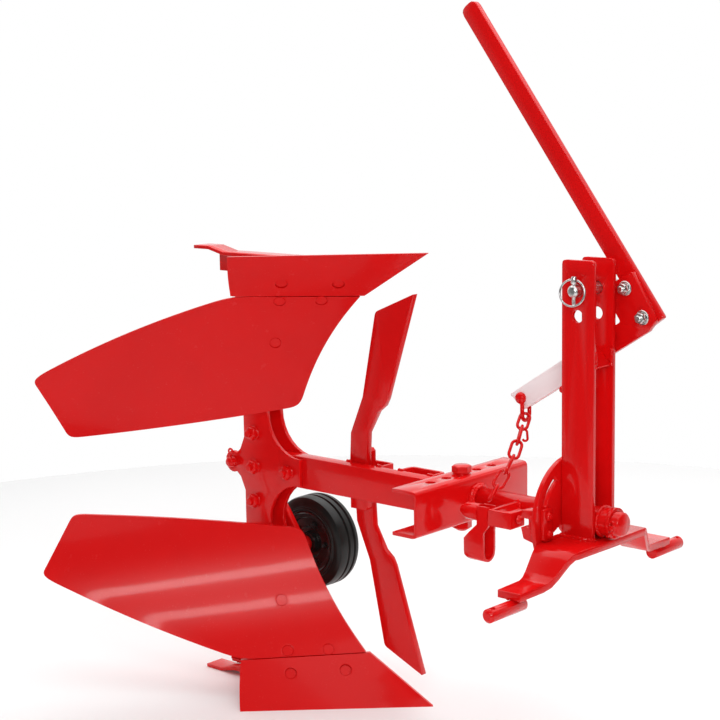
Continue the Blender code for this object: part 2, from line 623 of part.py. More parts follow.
def main():
    for item in list(bpy.data.objects):
        bpy.data.objects.remove(item)
    red = material("red_paint", (0.62, 0.012, 0.012), 0.28, 0.0)
    zinc = material("zinc_plate", (0.62, 0.60, 0.57), 0.30, 1.0)
    black = material("black_paint", (0.012, 0.012, 0.012), 0.30, 0.0)
    rubber = material("rubber", (0.02, 0.02, 0.019), 0.60, 0.0)

    wheel_at = (PIVOT_X + ARM_LENGTH * math.cos(ARM_DROP), -ARM_LENGTH * math.sin(ARM_DROP))
    headstock = pivot("headstock", (0.0, 0.0, 0.0))
    lever = pivot("lever_pivot", (LEVER_PIVOT[0], CRANK_Y[0], LEVER_PIVOT[1]), headstock)
    turnover = pivot("roll_axis", (SHAFT_X[0], 0.0, 0.0), headstock)
    arm = pivot("wheel_arm_pivot", (PIVOT_X, ARM_Y[0], 0.0), turnover)
    wheel = pivot("wheel_axis", (wheel_at[0], (WHEEL_Y[0] + WHEEL_Y[1]) / 2, wheel_at[1]), arm)

    make_cross_plate(headstock, red)
    make_mast(headstock, red)
    make_link_pins(headstock, red, zinc)
    make_bearing(headstock, red)
    make_sector(headstock, red)
    make_lever_fittings(headstock, red)
    make_lever(lever, red)
    make_shaft(turnover, red)
    make_channel(turnover, red)
    make_beam(turnover, red)
    make_knife_straps(turnover, red)
    make_knives(turnover, red)
    make_bodies(turnover, red)
    make_frogs(turnover, red)
    make_heels(turnover, red)
    make_latch(turnover, red, zinc)
    make_wheel_arm(turnover, arm, red, wheel_at)
    make_wheel(wheel, black, rubber, wheel_at)
    stand_on_floor(headstock)


main()
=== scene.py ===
"""Looks of a roll-over moldboard plough: paint, fasteners, welds, chain and gauge wheel."""

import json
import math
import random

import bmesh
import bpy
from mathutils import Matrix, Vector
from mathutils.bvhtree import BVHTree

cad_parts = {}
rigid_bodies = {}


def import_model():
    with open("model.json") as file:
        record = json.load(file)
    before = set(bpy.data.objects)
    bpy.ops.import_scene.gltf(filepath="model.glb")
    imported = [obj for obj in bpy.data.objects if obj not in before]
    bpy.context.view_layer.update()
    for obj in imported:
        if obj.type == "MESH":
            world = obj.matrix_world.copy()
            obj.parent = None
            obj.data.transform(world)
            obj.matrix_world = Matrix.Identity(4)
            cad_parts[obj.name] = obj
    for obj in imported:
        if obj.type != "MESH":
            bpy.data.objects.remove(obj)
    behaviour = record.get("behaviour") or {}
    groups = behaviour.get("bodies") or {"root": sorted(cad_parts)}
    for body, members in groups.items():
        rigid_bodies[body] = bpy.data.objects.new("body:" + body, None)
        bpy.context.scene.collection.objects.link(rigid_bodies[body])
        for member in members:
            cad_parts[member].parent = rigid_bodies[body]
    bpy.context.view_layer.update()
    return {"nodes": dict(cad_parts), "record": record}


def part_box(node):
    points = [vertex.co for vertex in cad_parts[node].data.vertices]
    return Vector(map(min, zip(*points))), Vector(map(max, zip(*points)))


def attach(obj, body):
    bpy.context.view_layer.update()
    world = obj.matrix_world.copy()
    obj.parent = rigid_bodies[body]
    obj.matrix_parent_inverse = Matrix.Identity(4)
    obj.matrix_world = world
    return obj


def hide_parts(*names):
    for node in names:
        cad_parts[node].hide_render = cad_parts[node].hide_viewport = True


bl_info = {
    "name": "Roll-over Plough Looks",
    "version": (1, 0, 0),
    "blender": (4, 5, 0),
    "location": "View3D > Sidebar > Plough",
    "description": "Paints a roll-over moldboard plough and adds its fasteners, welds and chain",
    "category": "Object",
}

for startup_object in list(bpy.data.objects):
    bpy.data.objects.remove(startup_object)
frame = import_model()


# ---- places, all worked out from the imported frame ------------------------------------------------
def middle(node):
    low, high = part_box(node)
    return (low + high) / 2


def hitch_origin():
    """Crossing of the roll-over axis and the plane of the lower link pins."""
    shaft = middle("roll_shaft")
    return Vector((middle("lower_link_pin_right").x, shaft.y, shaft.z))


HITCH = hitch_origin()


def at(x, y, z):
    """A point given in the hitch frame: X from the link pins, Y from the mast, Z from the roll axis."""
    return HITCH + Vector((x, y, z))


# ---- settings ------------------------------------------------------------------------------------
class PloughPaint(bpy.types.PropertyGroup):
    """Colours and surface of the paint and the metals."""

    red: bpy.props.FloatVectorProperty(
        name="Red", description="Colour of the gloss paint", subtype="COLOR", size=3,
        default=(0.720, 0.0045, 0.0050), min=0.0, max=1.0)
    gloss: bpy.props.FloatProperty(
        name="Frame roughness", description="Mean roughness of the paint on the frame",
        default=0.14, min=0.0, max=1.0, subtype="FACTOR")
    sheet_gloss: bpy.props.FloatProperty(
        name="Sheet roughness", description="Mean roughness of the paint on boards and shares",
        default=0.24, min=0.0, max=1.0, subtype="FACTOR")
    peel: bpy.props.FloatProperty(
        name="Orange peel", description="Depth of the fine ripple in the paint",
        default=0.00003, min=0.0, max=0.001, unit="LENGTH", precision=6)
    zinc: bpy.props.FloatVectorProperty(
        name="Zinc", description="Colour of the zinc plated fasteners", subtype="COLOR", size=3,
        default=(0.66, 0.66, 0.65), min=0.0, max=1.0)
    rubber: bpy.props.FloatVectorProperty(
        name="Rubber", description="Colour of the tyre", subtype="COLOR", size=3,
        default=(0.012, 0.012, 0.011), min=0.0, max=1.0)


class PloughStage(bpy.types.PropertyGroup):
    """Camera, surroundings and studio light."""

    azimuth: bpy.props.FloatProperty(
        name="Azimuth", description="Direction of the camera round the plough", subtype="ANGLE",
        default=math.radians(41.95))
    elevation: bpy.props.FloatProperty(
        name="Elevation", description="Height angle of the camera", subtype="ANGLE",
        default=math.radians(9.04))
    roll: bpy.props.FloatProperty(
        name="Roll", description="Tilt of the camera about its own axis", subtype="ANGLE",
        default=math.radians(-0.95))
    lens: bpy.props.FloatProperty(
        name="Focal length", description="Focal length for a 36 mm wide frame", default=84.5,
        min=20.0, max=300.0, unit="CAMERA")
    stand: bpy.props.FloatVectorProperty(
        name="Stand point", description="Camera's place from the hitch origin", subtype="TRANSLATION",
        size=3, default=(1.4727, -2.1780, 0.6750))
    backdrop: bpy.props.FloatProperty(
        name="Backdrop", description="Brightness of the studio's white surroundings", default=1.0,
        min=0.0, max=10.0)
    dark: bpy.props.FloatProperty(
        name="Camera side", description="Brightness of the studio behind the camera", default=0.11,
        min=0.0, max=10.0)
    dusk: bpy.props.FloatVectorProperty(
        name="Dusk", description="Where the surroundings turn from dark to white, as sines", size=2,
        default=(-0.15, 0.55), min=-1.0, max=1.0)
    ceiling: bpy.props.FloatProperty(
        name="Ceiling light", description="Power of the wide light over the plough", default=105.0,
        min=0.0, max=2000.0, unit="POWER")
    strips: bpy.props.FloatProperty(
        name="Strip lights", description="Power of each strip light over the camera", default=22.0,
        min=0.0, max=500.0, unit="POWER")


def paint_settings():
    return bpy.context.scene.plough_paint


def stage_settings():
    return bpy.context.scene.plough_stage


# ---- shader maths --------------------------------------------------------------------------------
class Wire:
    """A node's output socket that takes part in Python arithmetic."""

    def __init__(self, graph, socket):
        self.graph = graph
        self.socket = socket

    def math(self, operation, left, right):
        return self.graph.node("ShaderNodeMath", {"operation": operation}, {0: left, 1: right})

    def __add__(self, other):
        return self.math("ADD", self, other)

    def __radd__(self, other):
        return self.math("ADD", other, self)

    def __sub__(self, other):
        return self.math("SUBTRACT", self, other)

    def __rsub__(self, other):
        return self.math("SUBTRACT", other, self)

    def __mul__(self, other):
        return self.math("MULTIPLY", self, other)

    def __rmul__(self, other):
        return self.math("MULTIPLY", other, self)

    def over(self, low, high):
        """0 below low and 1 above high, rising smoothly between them."""
        inputs = {0: self, 1: low, 2: high}
        return self.graph.node("ShaderNodeMapRange", {"interpolation_type": "SMOOTHSTEP"}, inputs)


class Graph:
    """A node tree that is being built."""

    def __init__(self, tree):
        self.tree = tree

    def node(self, kind, settings=None, inputs=None, output=0):
        """Add a node: its settings first, then a value or a wire for each socket."""
        made = self.tree.nodes.new(kind)
        for name, value in (settings or {}).items():
            setattr(made, name, value)
        for name, value in (inputs or {}).items():
            self.join(value, made.inputs[name])
        return Wire(self, made.outputs[output])

    def join(self, value, socket):
        if isinstance(value, Wire):
            self.tree.links.new(value.socket, socket)
        else:
            socket.default_value = value


class Finish(Graph):
    """A material that is being built; its shader's constants are set on the shader's own sockets."""

    def __init__(self, name, constants):
        self.material = bpy.data.materials.new(name)
        self.material.use_nodes = True
        super().__init__(self.material.node_tree)
        self.shader = self.tree.nodes["Principled BSDF"]
        for socket, value in constants.items():
            self.join(value, self.shader.inputs[socket])

    def place(self):
        """Position on the piece, in metres."""
        return self.node("ShaderNodeTexCoord", output="Object")

    def axis(self, vector, index):
        return self.node("ShaderNodeSeparateXYZ", inputs={0: vector}, output=index)

    def noise(self, vector, scale, detail=3.0, roughness=0.5):
        inputs = {"Vector": vector, "Scale": scale, "Detail": detail, "Roughness": roughness}
        return self.node("ShaderNodeTexNoise", {"noise_dimensions": "3D"}, inputs)

    def mix(self, factor, first, second):
        """A colour between two colours."""
        settings = {"data_type": "RGBA", "blend_type": "MIX"}
        return self.node("ShaderNodeMix", settings, {0: factor, 6: first, 7: second}, output=2)

    def bump(self, height, distance, strength=1.0, under=None):
        """A dented normal; under is the normal of a coarser bump beneath it."""
        inputs = {"Height": height, "Distance": distance, "Strength": strength}
        if under is not None:
            inputs["Normal"] = under
        return self.node("ShaderNodeBump", inputs=inputs)

    def feed(self, name, wire):
        self.join(wire, self.shader.inputs[name])


def rgba(colour, gain=1.0):
    return (*[min(1.0, part * gain) for part in colour], 1.0)


# ---- finishes ------------------------------------------------------------------------------------
DUST = (0.80, 0.42, 0.40, 1.0)
# colour of a painted reflection: glare on the crank's near face is painted in as pale pink
PAINTED_GLARE = (1.0, 0.92, 0.93, 1.0)
PAINTED_GLARE_EDGE = 0.02               # half the width over which the glare fades out
RIM_BLACKS = ((0.004, 0.004, 0.004, 1.0), (0.014, 0.014, 0.013, 1.0))
FRAME_SHINE, SHEET_SHINE = 0.18, 0.14
RIPPLE_DEPTH, BRUSH_DEPTH, RUBBER_GRAIN, RIM_PEEL = 0.0004, 0.00001, 0.00006, 0.00003


def gloss_red(name, gloss, shine, painted_glare_at=None):
    """Gloss paint with orange peel, faint ripple and dust; a glare place given paints a pale reflection
    into the colour of the near face behind it.
    """
    look = paint_settings()
    constants = {"Specular IOR Level": shine, "Coat Weight": shine, "Coat Roughness": gloss * 0.3}
    paint = Finish(name, constants)
    spot = paint.place()
    cloud = paint.noise(spot, 6.0, 2.0)
    fine = paint.noise(spot, 55.0, 4.0, 0.6)
    dust = paint.noise(spot, 420.0, 2.0).over(0.66, 0.74) * fine.over(0.45, 0.62)
    colour = paint.mix(cloud.over(0.3, 0.7), rgba(look.red, 0.97), rgba(look.red, 1.03))
    colour = paint.mix(dust * 0.05, colour, DUST)
    if painted_glare_at is not None:
        behind = 1.0 - paint.axis(spot, 0).over(painted_glare_at - PAINTED_GLARE_EDGE, painted_glare_at + PAINTED_GLARE_EDGE)
        side = paint.axis(paint.node("ShaderNodeTexCoord", output="Normal"), 1)
        # painted reflection: the near face (facing -Y) behind the glare place is mixed towards pale pink in
        # place of glare
        colour = paint.mix(behind * 0.98 * (0.0 - side).over(0.7, 0.9), colour, PAINTED_GLARE)
    paint.feed("Base Color", colour)
    paint.feed("Roughness", gloss + fine * 0.05 + dust * 0.15)
    ripple = paint.bump(cloud, RIPPLE_DEPTH, strength=0.25)
    paint.feed("Normal", paint.bump(paint.noise(spot, 700.0, 1.0), look.peel, under=ripple))
    return paint.material


def zinc_plate():
    """Zinc plate: bright, slightly clouded and brushed round."""
    look = paint_settings()
    plate = Finish("zinc_plate", {"Metallic": 1.0})
    spot = plate.place()
    cloud = plate.noise(spot, 160.0)
    plate.feed("Base Color", plate.mix(cloud.over(0.35, 0.65), rgba(look.zinc, 0.80), rgba(look.zinc, 1.1)))
    plate.feed("Roughness", 0.20 + cloud * 0.20)
    plate.feed("Normal", plate.bump(plate.noise(spot, 900.0, 2.0), BRUSH_DEPTH))
    return plate.material


def tyre_rubber():
    """Moulded rubber with a soft sheen."""
    look = paint_settings()
    rubber = Finish("tyre_rubber", {"Specular IOR Level": 0.30})
    spot = rubber.place()
    bloom = rubber.noise(spot, 30.0, 4.0, 0.6)
    shades = rgba(look.rubber, 0.6), rgba(look.rubber, 1.2)
    rubber.feed("Base Color", rubber.mix(bloom.over(0.4, 0.75), *shades))
    rubber.feed("Roughness", 0.26 + bloom * 0.2)
    rubber.feed("Normal", rubber.bump(rubber.noise(spot, 800.0, 2.0), RUBBER_GRAIN))
    return rubber.material


def gloss_black():
    """Black gloss paint of the rim."""
    paint = Finish("gloss_black", {"Coat Weight": 0.5, "Coat Roughness": 0.06})
    spot = paint.place()
    cloud = paint.noise(spot, 25.0)
    paint.feed("Base Color", paint.mix(cloud, *RIM_BLACKS))
    paint.feed("Roughness", 0.20 + cloud * 0.12)
    paint.feed("Normal", paint.bump(paint.noise(spot, 600.0, 1.0), RIM_PEEL))
    return paint.material


PAINTED_GLARE_FROM = -0.036             # X of the crank where the painted reflection starts
FINISHES = {}


def finish(name):
    """Each finish is made once, when the first piece asks for it."""
    look = paint_settings()
    makers = {
        "red_paint": lambda: gloss_red("gloss_red", look.gloss, FRAME_SHINE),
        "sheet_red": lambda: gloss_red("sheet_red", look.sheet_gloss, SHEET_SHINE),
        "red_with_painted_glare": lambda: gloss_red("red_with_painted_glare", look.gloss, FRAME_SHINE, at(PAINTED_GLARE_FROM, 0, 0).x),
        "zinc_plate": zinc_plate,
        "rubber": tyre_rubber,
        "black_paint": gloss_black,
    }
    if name not in FINISHES:
        FINISHES[name] = makers[name]()
    return FINISHES[name]


# ---- carried-over nodes --------------------------------------------------------------------------
EDGE = 0.0008                   # rounding of every visible edge
SAME_PLACE = 0.00001            # vertices closer than this are one
PLAIN_EDGED = {"lever_pivot_stud", "wheel_pivot_pin", "wheel_axle", "roll_shaft", "chain_shackle"}
# the crank gets a red with a painted reflection on its near face
PAINTED_GLARE_FINISH = {"lever_crank": "red_with_painted_glare"}


def round_edges(item, width, sharper_than):
    bevel = item.modifiers.new("edge", "BEVEL")
    bevel.width = width
    bevel.segments = 2
    bevel.limit_method = "ANGLE"
    bevel.angle_limit = math.radians(sharper_than)
    bevel.harden_normals = True


def dress_node(item, finish_name, rounded):
    """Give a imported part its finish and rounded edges; its own mesh stays as it is."""
    item.data.materials.clear()
    item.data.materials.append(finish(finish_name))
    merge = item.modifiers.new("weld", "WELD")
    merge.merge_threshold = SAME_PLACE
    if rounded:
        round_edges(item, EDGE, 32)
    for polygon in item.data.polygons:
        polygon.use_smooth = True


class PLOUGH_OT_dress_frame(bpy.types.Operator):
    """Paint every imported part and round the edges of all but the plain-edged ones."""

    bl_idname = "plough.dress_frame"
    bl_label = "Dress the Frame"

    def execute(self, context):
        slots = {part["node"]: part["material_slot"] for part in frame["record"]["subparts"]}
        for name, item in frame["nodes"].items():
            dress_node(item, PAINTED_GLARE_FINISH.get(name, slots[name]), name not in PLAIN_EDGED)
        return {"FINISHED"}


# ---- mesh building -------------------------------------------------------------------------------
NEAR = Vector((0, -1, 0))
FAR = Vector((0, 1, 0))
FRONT = Vector((1, 0, 0))
UP = Vector((0, 0, 1))
BEAD_STEP = 0.0021              # length of one ripple of a weld bead
WASHER = 0.0022                 # thickness of the washer under a nut
CHAMFER = 0.0016                # height of a hexagon's chamfer
THREAD = 0.0012                 # taper at a bolt's end


def axes_of(way):
    """Two directions square to a given one."""
    side = way.orthogonal().normalized()
    return side, way.normalized().cross(side)


def ring_of(mesh, place, across, up, radius, sides, hexed=False):
    """A ring of vertices; a hexed ring has its radius as half its width across flats."""
    ring = []
    for index in range(sides):
        turn = math.tau * index / sides
        reach = radius / math.cos(turn % (math.pi / 3) - math.pi / 6) if hexed else radius
        ring.append(mesh.verts.new(place + (across * math.cos(turn) + up * math.sin(turn)) * reach))
    return ring


def skin(mesh, rows, closed=False):
    """Faces between rings, with end caps unless the rings close on themselves."""
    pairs = list(zip(rows, rows[1:]))
    if closed:
        pairs.append((rows[-1], rows[0]))
    for first, second in pairs:
        for index in range(len(first)):
            following = (index + 1) % len(first)
            mesh.faces.new((first[index], first[following], second[following], second[index]))
    if not closed:
        mesh.faces.new(reversed(rows[0]))
        mesh.faces.new(rows[-1])


def turn_solid(mesh, place, way, profile, sides=32, hexed=(), closed=False):
    """A turned solid on the line through place; profile holds (distance, radius) pairs."""
    across, up = axes_of(way)
    line = way.normalized()
    rows = []
    for index, (along, radius) in enumerate(profile):
        rows.append(ring_of(mesh, place + line * along, across, up, radius, sides, index in hexed))
    skin(mesh, rows, closed)


def sweep(mesh, points, radii, sides=10, closed=False):
    """A round bar through a list of points, with a radius for each."""
    count = len(points)
    rows = []
    up = None
    for index, point in enumerate(points):
        ahead = points[(index + 1) % count] if closed or index < count - 1 else point
        behind = points[index - 1] if closed or index > 0 else point
        line = (ahead - behind).normalized()
        up = line.orthogonal().normalized() if up is None else (up - line * up.dot(line)).normalized()
        rows.append(ring_of(mesh, point, up, line.cross(up), radii[index], sides))
    skin(mesh, rows, closed)


def wire(mesh, points, radius, sides=10, closed=False):
    sweep(mesh, points, [radius] * len(points), sides, closed)


def arc_points(centre, across, up, radius, start, end, steps):
    """Points of an arc in the plane of two directions; angles in degrees."""
    points = []
    for step in range(steps + 1):
        turn = math.radians(start + (end - start) * step / steps)
        points.append(centre + (across * math.cos(turn) + up * math.sin(turn)) * radius)
    return points


def bead(mesh, corners, radius, seed):
    """A weld bead along a line of corners: overlapping ripples of uneven width."""
    chance = random.Random(seed)
    points = []
    radii = []
    for start, end in zip(corners, corners[1:]):
        steps = max(2, round((end - start).length / BEAD_STEP))
        for step in range(steps):
            points.append(start.lerp(end, step / steps))
    points.append(corners[-1])
    for index, point in enumerate(points):
        ripple = 0.72 + 0.28 * abs(math.sin(index * 1.1)) + chance.uniform(-0.12, 0.12)
        radii.append(radius * ripple)
        wander = Vector([chance.uniform(-1, 1) for _ in range(3)])
        points[index] = point + wander * (radius * 0.10)
    radii[0] = radii[-1] = radius * 0.4
    sweep(mesh, points, radii, 8)


def hex_bolt(mesh, place, way, flats, height, stub=0.0, stub_radius=0.0, flange=0.0):
    """A chamfered hexagon standing on place, with an optional washer under it and bolt end above it."""
    half = flats / 2
    base = 0.0
    if flange:
        base = WASHER
        turn_solid(mesh, place, way, [(0.0, flange), (base * 0.6, flange), (base, flange * 0.93)], 24)
    profile = [(base, half * 0.95), (base + CHAMFER / 2, half), (base + height - CHAMFER, half),
               (base + height, half * 0.90)]
    turn_solid(mesh, place, way, profile, 24, hexed=(1, 2))
    if stub:
        top = base + height
        profile = [(top - 0.001, stub_radius), (top + stub - 0.001, stub_radius),
                   (top + stub, stub_radius - THREAD)]
        turn_solid(mesh, place, way, profile, 20)


def piece(name, mesh, finish_name, body, replaces=(), sharp=40):
    """Make a visible piece from a mesh in world space and let it ride on a body."""
    bmesh.ops.remove_doubles(mesh, verts=mesh.verts[:], dist=0.000001)
    bmesh.ops.recalc_face_normals(mesh, faces=mesh.faces[:])
    data = bpy.data.meshes.new(name)
    mesh.to_mesh(data)
    mesh.free()
    data.materials.append(finish(finish_name))
    data.shade_smooth()
    data.set_sharp_from_angle(angle=math.radians(sharp))
    item = bpy.data.objects.new(name, data)
    bpy.context.scene.collection.objects.link(item)
    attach(item, body)
    if replaces:
        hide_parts(*replaces)
    return item


def surface_near(node, point):
    """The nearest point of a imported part's surface and its outward direction there."""
    data = frame["nodes"][node].data
    corners = [vertex.co for vertex in data.vertices]
    tree = BVHTree.FromPolygons(corners, [polygon.vertices for polygon in data.polygons])
    place, normal, _, _ = tree.find_nearest(point)
    return place, normal


# ---- boards --------------------------------------------------------------------------------------
BOARD_BOLTS = {                 # near the bolts of the upper body; the lower body mirrors them
    "moldboard": ((-0.589, -0.092, 0.3035), (-0.538, -0.040, 0.3040), (-0.626, -0.067, 0.227)),
    "share": ((-0.565, -0.111, 0.333), (-0.498, -0.039, 0.332)),
}
BOLT_REACH = Vector((0.02, -0.02, 0.0))     # towards the working face
SEAM_ENDS = ((-0.4805, -0.0030, 0.3226), (-0.6420, -0.1550, 0.3275))
SEAM_BACK = Vector((-0.677, 0.736, 0.0)) * 0.0050   # square to the share's edge, in plan
SEAM_RADIUS = 0.0019
BOARD_SINK = {"moldboard": 0.0004, "share": 0.0022}
BOARD_NUT = (0.019, 0.008, 0.005, 0.006)    # across flats, height, bolt end's length and radius
BOARD_EDGE = 0.0007             # rounding of a board's edges
BOLT_RADIUS = 0.0098
HEAD_DEPTH, HEAD_CHAMFER = 0.003, 0.0007
HEAD_EDGE = 0.0006              # height of the head's chamfer
RECESS_RADIUS = 0.0108
RECESS_GAP = 0.0012             # the recess goes this much below the bolt's head
BOARD_DEPTH = 0.007
RIM_ANGLE = math.radians(35)
ROUNDED_BELOW = 0.30            # corners of a board nearer the roll axis than this are rounded
SMOOTHING = 3                   # times that a board is subdivided


def board_node(part, side):
    return f"{part}_{'upper' if side > 0 else 'lower'}"


def bolt_seats(part, side):
    """Place and outward direction of each countersunk bolt on the working face of a board or share."""
    node = board_node(part, side)
    seats = []
    for x, y, z in BOARD_BOLTS[part]:
        seats.append(surface_near(node, at(x, y, side * z) + BOLT_REACH))
    return seats


def held(mesh, name):
    """A working object that holds a mesh for a modifier."""
    data = bpy.data.meshes.new(name)
    mesh.to_mesh(data)
    mesh.free()
    item = bpy.data.objects.new(name, data)
    bpy.context.scene.collection.objects.link(item)
    return item


def refined(node):
    """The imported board's mesh as quads, creased along its rims so that it can be subdivided."""
    mesh = bmesh.new()
    mesh.from_mesh(frame["nodes"][node].data)
    bmesh.ops.remove_doubles(mesh, verts=mesh.verts[:], dist=SAME_PLACE)
    bmesh.ops.join_triangles(mesh, faces=mesh.faces[:], angle_face_threshold=math.radians(12),
                             angle_shape_threshold=math.radians(80))
    crease = mesh.edges.layers.float.new("crease_edge")
    for edge in mesh.edges:
        if edge.is_manifold and edge.calc_face_angle() > RIM_ANGLE:
            levels = [abs(vertex.co.z - HITCH.z) for vertex in edge.verts]
            across = edge.calc_length() < BOARD_DEPTH * 1.4
            edge[crease] = 0.0 if across and max(levels) < ROUNDED_BELOW else 1.0
    return mesh


def drilled_board(part, side):
    """A smooth board with a recess round each bolt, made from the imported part's own mesh."""
    cutter_mesh = bmesh.new()
    for place, normal in bolt_seats(part, side):
        depth = BOARD_SINK[part] + RECESS_GAP
        turn_solid(cutter_mesh, place, normal, [(-depth, RECESS_RADIUS), (0.004, RECESS_RADIUS)], 48)
    bmesh.ops.recalc_face_normals(cutter_mesh, faces=cutter_mesh.faces[:])
    cutter = held(cutter_mesh, "recess")
    work = held(refined(board_node(part, side)), "work")
    finer = work.modifiers.new("finer", "SUBSURF")
    finer.levels = SMOOTHING
    finer.render_levels = SMOOTHING
    drill = work.modifiers.new("drill", "BOOLEAN")
    drill.operation = "DIFFERENCE"
    drill.solver = "EXACT"
    drill.object = cutter
    graph = bpy.context.evaluated_depsgraph_get()
    made = bmesh.new()
    made.from_mesh(work.evaluated_get(graph).to_mesh())
    for item in (cutter, work):
        bpy.data.objects.remove(item)
    return made


class PLOUGH_OT_boards(bpy.types.Operator):
    """Boards and shares with recessed bolts, and the nuts behind them."""

    bl_idname = "plough.boards"
    bl_label = "Boards and Shares"

    def execute(self, context):
        bolts = bmesh.new()
        for side in (1, -1):
            for part in BOARD_BOLTS:
                node = board_node(part, side)
                mesh = drilled_board(part, side)
                board = piece(f"{node}_drilled", mesh, "sheet_red", "turnover_frame", [node], sharp=22)
                round_edges(board, BOARD_EDGE, 40)
                for place, normal in bolt_seats(part, side):
                    self.board_bolt(bolts, place, normal, BOARD_SINK[part])
        piece("board_bolts", bolts, "sheet_red", "turnover_frame")

        seams = bmesh.new()
        for side in (1, -1):
            ends = [at(x, y, side * z) + SEAM_BACK for x, y, z in SEAM_ENDS]
            wire(seams, ends, SEAM_RADIUS, 8)
        piece("seam_fillets", seams, "sheet_red", "turnover_frame")
        return {"FINISHED"}

    @staticmethod
    def board_bolt(mesh, place, normal, sink):
        """A countersunk head just under the working face and a nut behind the board."""
        head = [(-HEAD_DEPTH, BOLT_RADIUS), (-sink - HEAD_EDGE, BOLT_RADIUS),
                (-sink, BOLT_RADIUS - HEAD_CHAMFER)]
        turn_solid(mesh, place, normal, head, 40)
        hex_bolt(mesh, place - normal * BOARD_DEPTH, -normal, *BOARD_NUT)


# ---- fasteners -----------------------------------------------------------------------------------
# Hexagons: width across flats, height, length and radius of the bolt's end, radius of the washer.
FROG_NUT = (0.0225, 0.010, 0.007, 0.0068, 0.0125)
CHANNEL_HEAD = (0.029, 0.013, 0.0, 0.0, 0.0150)
CHANNEL_NUT = (0.029, 0.0155, 0.003, 0.0095)
CATCH_HEAD = (0.0125, 0.0055, 0.002, 0.0035)
CATCH_NUT = (0.009, 0.004)
CRANK_NUT = (0.0165, 0.0085, 0.004, 0.0048, 0.0118)
CRANK_HEAD = (0.0165, 0.0065, 0.0, 0.0, 0.0105)

FROG_BOLTS = ((-0.701, 0.061), (-0.701, -0.002), (-0.616, -0.002), (-0.701, -0.066))    # X, Z
FROG_NEAR, FROG_FAR = -0.0530, -0.0100          # Y of the frog plates' outer faces
FROG_HEAD = ((0.0, 0.0150), (0.0012, 0.0150), (0.0032, 0.0085))
CHANNEL_BOLT = (-0.253, -0.008)                 # X, Y
CHANNEL_FLANGE = 0.039                          # Z of the channel's outer faces
CATCH_BOLTS = ((0.074, 0.014), (0.073, -0.015))             # Y, Z
CATCH_FRONT, CATCH_BACK, CATCH_BACK_Y = -0.0287, -0.0430, 0.0935
CATCH_BACK_SPREAD = 0.8                         # the nuts behind stand closer together
CHANNEL_SHANK = ((-0.036, 0.0083), (0.036, 0.0083))
CRANK_BOLTS = ((0.038, 0.366), (0.070, 0.3225))             # X, Z
CRANK_NEAR, CRANK_FAR = 0.0360, 0.0583                      # Y of the crank's and the bar's faces
SHACKLE_HEAD = (-0.1615, 0.0360, 0.1715)
SHACKLE_DOME = ((0.0, 0.0098), (0.0035, 0.0098), (0.0058, 0.0086), (0.0074, 0.0058), (0.0082, 0.0022))
SPLIT_PINS = (                                  # place, direction of the legs, size of the eye
    ((-0.757, -0.0600, 0.020), (0.02, 0.0, -1.0), 0.0050),
    ((0.0535, -0.0205, 0.003), (0.03, -0.10, -1.0), 0.0042),
)
SHAFT_KNOB = (0.0530, -0.0215, -0.003)
SHAFT_KNOB_SHAPE = ((-0.004, 0.0022), (-0.002, 0.0040), (0.001, 0.0046), (0.0035, 0.0038), (0.0048, 0.0014))
EYE_WIRE, LEG_WIRE = 0.0019, 0.0017
LYNCH_SHANK = ((0.0, 0.0034), (0.002, 0.0046), (0.010, 0.0050), (0.0115, 0.0040), (0.013, 0.0032),
               (0.043, 0.0032), (0.045, 0.0026), (0.047, 0.0012))
LYNCH_RING = (-0.0025, -0.0485, 0.3645)
LYNCH_RING_RADIUS, LYNCH_WIRE = 0.0205, 0.0016
LYNCH_PLANE = (Vector((0.98, 0.20, 0.0)), Vector((0.0, 0.1, 1.0)))


def split_pin(mesh, head, along, spread, size):
    """An eye with two legs bent apart."""
    eye = arc_points(head, along, spread, size, 15, 345, 14)
    legs = []
    for side in (1, -1):
        start = head + along * size
        bend = start + along * (size * 2.4) + spread * (side * size * 0.25)
        legs.append([start, bend, bend + (along + spread * (side * 0.9)) * (size * 0.9),
                     bend + (along * 1.2 + spread * (side * 1.6)) * (size * 1.1)])
    wire(mesh, eye, EYE_WIRE, 8)
    for leg in legs:
        wire(mesh, leg, LEG_WIRE, 8)


def frog_bolts():
    mesh = bmesh.new()
    for x, z in FROG_BOLTS:
        hex_bolt(mesh, at(x, FROG_NEAR, z), NEAR, *FROG_NUT)
        turn_solid(mesh, at(x, FROG_FAR, z), FAR, FROG_HEAD, 28)
    piece("frog_bolts", mesh, "red_paint", "turnover_frame")


def channel_bolt():
    mesh = bmesh.new()
    hex_bolt(mesh, at(*CHANNEL_BOLT, CHANNEL_FLANGE), UP, *CHANNEL_HEAD)
    hex_bolt(mesh, at(*CHANNEL_BOLT, -CHANNEL_FLANGE), -UP, *CHANNEL_NUT)
    turn_solid(mesh, at(*CHANNEL_BOLT, 0.0), UP, CHANNEL_SHANK, 24)
    piece("channel_bolt", mesh, "red_paint", "turnover_frame")


def catch_bolts():
    mesh = bmesh.new()
    for side in (-1, 1):
        for y, z in CATCH_BOLTS:
            hex_bolt(mesh, at(CATCH_FRONT, side * y, z), FRONT, *CATCH_HEAD)
            hex_bolt(mesh, at(CATCH_BACK, side * CATCH_BACK_Y, z * CATCH_BACK_SPREAD), -FRONT, *CATCH_NUT)
    piece("catch_bolts", mesh, "red_paint", "headstock_frame")


def crank_bolts():
    mesh = bmesh.new()
    for x, z in CRANK_BOLTS:
        hex_bolt(mesh, at(x, CRANK_NEAR, z), NEAR, *CRANK_NUT)
        hex_bolt(mesh, at(x, CRANK_FAR, z), FAR, *CRANK_HEAD)
    piece("crank_bolts", mesh, "zinc_plate", "roll_lever")


